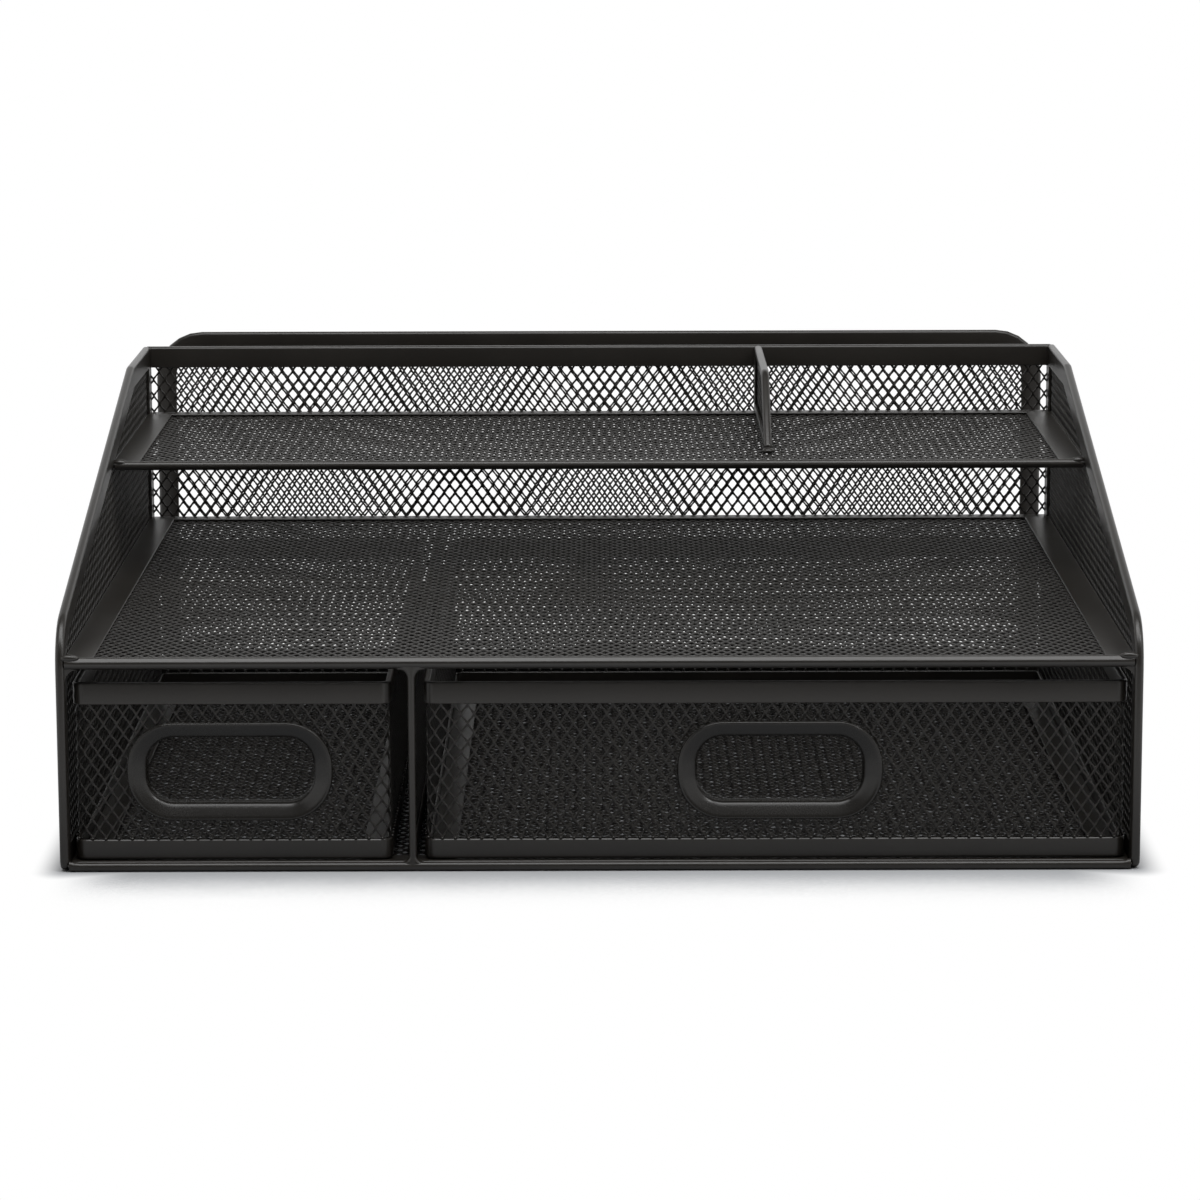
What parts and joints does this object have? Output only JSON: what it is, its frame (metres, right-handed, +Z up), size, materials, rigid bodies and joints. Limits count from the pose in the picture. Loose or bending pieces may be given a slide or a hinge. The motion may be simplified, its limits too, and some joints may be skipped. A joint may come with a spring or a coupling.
{
  "type": "desk organizer with drawers",
  "caption": "Wide desktop organizer of black expanded metal mesh: sloped sides, tiered trays, an upright letter slot behind and sliding drawers with finger pulls below.",
  "frame": {"origin": "middle of the footprint, on the surface that the organizer stands on", "axes": "+X to the right seen from the front, +Y from the drawer fronts to the letter slot, +Z up"},
  "size_m": [0.35, 0.336, 0.135],
  "materials": {
    "expanded_mesh": "black powder coat on expanded steel sheet, satin",
    "folded_channels": "black powder coat on folded steel strip, satin",
    "finger_pulls": "black powder coat on pressed steel, satin"
  },
  "bodies": {
    "housing": {"back_wall_foot": "folded_channels", "back_wall_mesh": "expanded_mesh", "back_wall_rail": "folded_channels", "base_frame": "folded_channels", "bay_floor_mesh": "expanded_mesh", "bay_partition_foot": "folded_channels", "bay_partition_head": "folded_channels", "bay_partition_mesh": "expanded_mesh", "front_centre_post": "folded_channels", "front_header_rod": "folded_channels", "front_sill_rod": "folded_channels", "left_side_mesh": "expanded_mesh", "left_side_rim": "folded_channels", "letter_panel_mesh": "expanded_mesh", "letter_panel_rim": "folded_channels", "letter_slot_floor_mesh": "expanded_mesh", "lower_shelf_back_strip": "folded_channels", "lower_shelf_front_rail": "folded_channels", "lower_shelf_left_strip": "folded_channels", "lower_shelf_mesh": "expanded_mesh", "lower_shelf_right_strip": "folded_channels", "right_side_mesh": "expanded_mesh", "right_side_rim": "folded_channels", "shelf_divider_mesh": "expanded_mesh", "shelf_divider_rim": "folded_channels", "upper_shelf_back_strip": "folded_channels", "upper_shelf_front_rail": "folded_channels", "upper_shelf_left_strip": "folded_channels", "upper_shelf_mesh": "expanded_mesh", "upper_shelf_right_strip": "folded_channels"},
    "small_drawer": {"small_drawer_back_mesh": "expanded_mesh", "small_drawer_bottom_band": "folded_channels", "small_drawer_finger_pull": "finger_pulls", "small_drawer_floor_mesh": "expanded_mesh", "small_drawer_floor_strips": "folded_channels", "small_drawer_front_mesh": "expanded_mesh", "small_drawer_left_mesh": "expanded_mesh", "small_drawer_right_mesh": "expanded_mesh", "small_drawer_top_band": "folded_channels"},
    "large_drawer": {"large_drawer_back_mesh": "expanded_mesh", "large_drawer_bottom_band": "folded_channels", "large_drawer_finger_pull": "finger_pulls", "large_drawer_floor_mesh": "expanded_mesh", "large_drawer_floor_strips": "folded_channels", "large_drawer_front_mesh": "expanded_mesh", "large_drawer_left_mesh": "expanded_mesh", "large_drawer_right_mesh": "expanded_mesh", "large_drawer_top_band": "folded_channels"}
  },
  "joints": [
    {"name": "small_drawer_slide", "type": "slide", "parent": "housing", "child": "small_drawer", "axis": [0, -1, 0], "range_m": [0, 0.24]},
    {"name": "large_drawer_slide", "type": "slide", "parent": "housing", "child": "large_drawer", "axis": [0, -1, 0], "range_m": [0, 0.24]}
  ]
}
